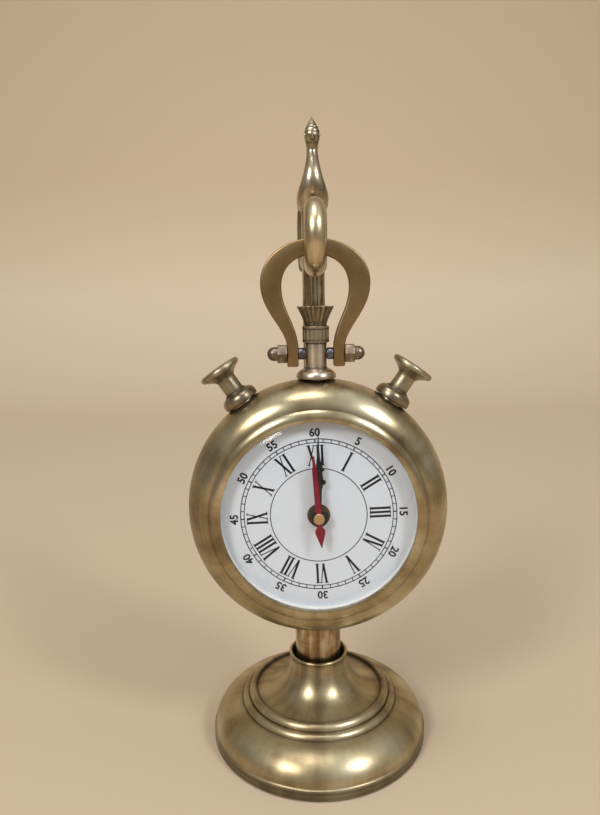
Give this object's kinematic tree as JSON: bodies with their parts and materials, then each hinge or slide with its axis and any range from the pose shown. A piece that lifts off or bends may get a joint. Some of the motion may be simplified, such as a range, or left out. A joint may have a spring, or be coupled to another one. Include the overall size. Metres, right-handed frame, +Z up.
{
  "type": "table clock",
  "caption": "Antique brass table clock shaped like a stopwatch, hung by its bow from a ring on a round-based stand with a bird on top.",
  "frame": {"origin": "centre of the base, on the table", "axes": "+Z up, the dial faces -Y, +X to the right as one faces the dial"},
  "size_m": [0.1286, 0.12, 0.3333],
  "materials": {
    "felt": "matt felt",
    "iron": "rough cast",
    "base_brass": "antique brass, streaky brown patina, soft polish",
    "column_brass": "antique brass, darkened",
    "ring_brass": "antique brass, soft polish",
    "cast_brass": "cast antique brass, dark in the hollows",
    "bow_brass": "browned brass, satin",
    "bolt_brass": "darkened brass",
    "case_brass": "antique brass, streaky brown patina, soft polish",
    "glass": "clear, convex",
    "dial_enamel": "glossy white",
    "crown_brass": "antique brass",
    "dark_brass": "dark antique brass",
    "button_brass": "antique brass, worn",
    "nut_brass": "turned brass",
    "steel": "plain",
    "black_plastic": "moulded",
    "white_plastic": "moulded",
    "rubber": "matt",
    "board": "lacquered",
    "copper": "lacquered copper wire, standing for copper",
    "battery_jacket": "plain sleeve",
    "contact_metal": "nickel plated",
    "magnet": "sintered magnet",
    "hand_black": "satin black",
    "hand_red": "gloss red"
  },
  "bodies": {
    "stand": {"base_felt": "felt", "base_weight": "iron", "base_dish": "base_brass", "base_neck": "base_brass", "weight_spacer": "steel", "tie_rod": "steel", "tie_washer": "steel", "tie_nut": "steel", "column_plug": "steel", "column": "column_brass", "column_cap": "column_brass", "pole": "column_brass", "ring_arm": "column_brass", "hanging_ring": "ring_brass", "bird": "cast_brass"},
    "clock_bow": {"bow": "bow_brass", "bow_bolt": "bolt_brass", "bow_spacers": "bolt_brass", "bow_nuts": "bolt_brass"},
    "clock": {"case_ring": "case_brass", "bezel": "case_brass", "dial_ring": "white_plastic", "glass": "glass", "dial": "dial_enamel", "back_cover": "case_brass", "back_screws": "steel", "crown_stem": "crown_brass", "crown_nut": "steel", "crown_collar": "dark_brass", "crown_screw": "bolt_brass", "button_sleeves": "crown_brass", "button_nuts": "steel", "button_spring_left": "steel", "button_spring_right": "steel", "movement_front": "black_plastic", "movement_back": "black_plastic", "train_plate": "white_plastic", "mount_washer": "rubber", "mount_nut": "nut_brass", "circuit_board": "board", "coil": "copper", "stator": "steel", "battery": "battery_jacket", "contacts": "contact_metal"},
    "crown": {"crown_head": "dark_brass"},
    "left_button": {"button_left": "button_brass", "button_clip_left": "steel"},
    "right_button": {"button_right": "button_brass", "button_clip_right": "steel"},
    "seconds": {"second_wheel": "white_plastic", "second_hand": "hand_red"},
    "motor_rotor": {"rotor": "magnet"},
    "intermediate": {"intermediate_wheel": "white_plastic"},
    "third": {"third_wheel": "white_plastic"},
    "minutes": {"centre_wheel": "nut_brass", "minute_hand": "hand_black"},
    "minute_reduction": {"motion_wheel": "white_plastic"},
    "hours": {"hour_wheel": "white_plastic", "hour_hand": "hand_black"}
  },
  "joints": [
    {"name": "bow_swing", "type": "hinge", "parent": "stand", "child": "clock_bow", "pos_m": [0, -0.03, 0.2596], "axis": [0, 1, 0], "range_deg": [-12, 12]},
    {"name": "clock_tilt", "type": "hinge", "parent": "clock_bow", "child": "clock", "pos_m": [0, -0.03, 0.2186], "axis": [1, 0, 0], "range_deg": [-30, 1.5]},
    {"name": "crown_turn", "type": "hinge", "parent": "clock", "child": "crown", "pos_m": [0, -0.03, 0.236], "axis": [0, 0, 1], "continuous": true},
    {"name": "left_press", "type": "slide", "parent": "clock", "child": "left_button", "axis": [0.5621, 0, -0.8271], "range_m": [0, 0.002], "stiffness_N_per_m": 600, "springref_m": -0.0015, "deforming": ["button_spring_left"]},
    {"name": "right_press", "type": "slide", "parent": "clock", "child": "right_button", "axis": [-0.5621, 0, -0.8271], "range_m": [0, 0.002], "stiffness_N_per_m": 600, "springref_m": -0.0015, "deforming": ["button_spring_right"]},
    {"name": "second_turn", "type": "hinge", "parent": "clock", "child": "seconds", "pos_m": [0, -0.045, 0.1427], "axis": [0, 1, 0], "continuous": true},
    {"name": "rotor_turn", "type": "hinge", "parent": "clock", "child": "motor_rotor", "pos_m": [-0.01299, -0.03, 0.1502], "axis": [0, 1, 0], "continuous": true},
    {"name": "intermediate_turn", "type": "hinge", "parent": "clock", "child": "intermediate", "pos_m": [-0.00727, -0.03, 0.1469], "axis": [0, 1, 0], "continuous": true},
    {"name": "third_turn", "type": "hinge", "parent": "clock", "child": "third", "pos_m": [0.00707, -0.03, 0.14678], "axis": [0, 1, 0], "continuous": true},
    {"name": "minute_turn", "type": "hinge", "parent": "clock", "child": "minutes", "pos_m": [0, -0.042, 0.1427], "axis": [0, 1, 0], "continuous": true},
    {"name": "motion_turn", "type": "hinge", "parent": "clock", "child": "minute_reduction", "pos_m": [0, -0.035, 0.1527], "axis": [0, 1, 0], "continuous": true},
    {"name": "hour_turn", "type": "hinge", "parent": "clock", "child": "hours", "pos_m": [0, -0.042, 0.1427], "axis": [0, 1, 0], "continuous": true}
  ],
  "couplings": [
    {"joint": "rotor_turn", "follows": "second_turn", "ratio": 30},
    {"joint": "intermediate_turn", "follows": "second_turn", "ratio": -6},
    {"joint": "third_turn", "follows": "second_turn", "ratio": -0.13333},
    {"joint": "minute_turn", "follows": "second_turn", "ratio": 0.016667},
    {"joint": "motion_turn", "follows": "second_turn", "ratio": -0.0055556},
    {"joint": "hour_turn", "follows": "second_turn", "ratio": 0.0013889}
  ]
}
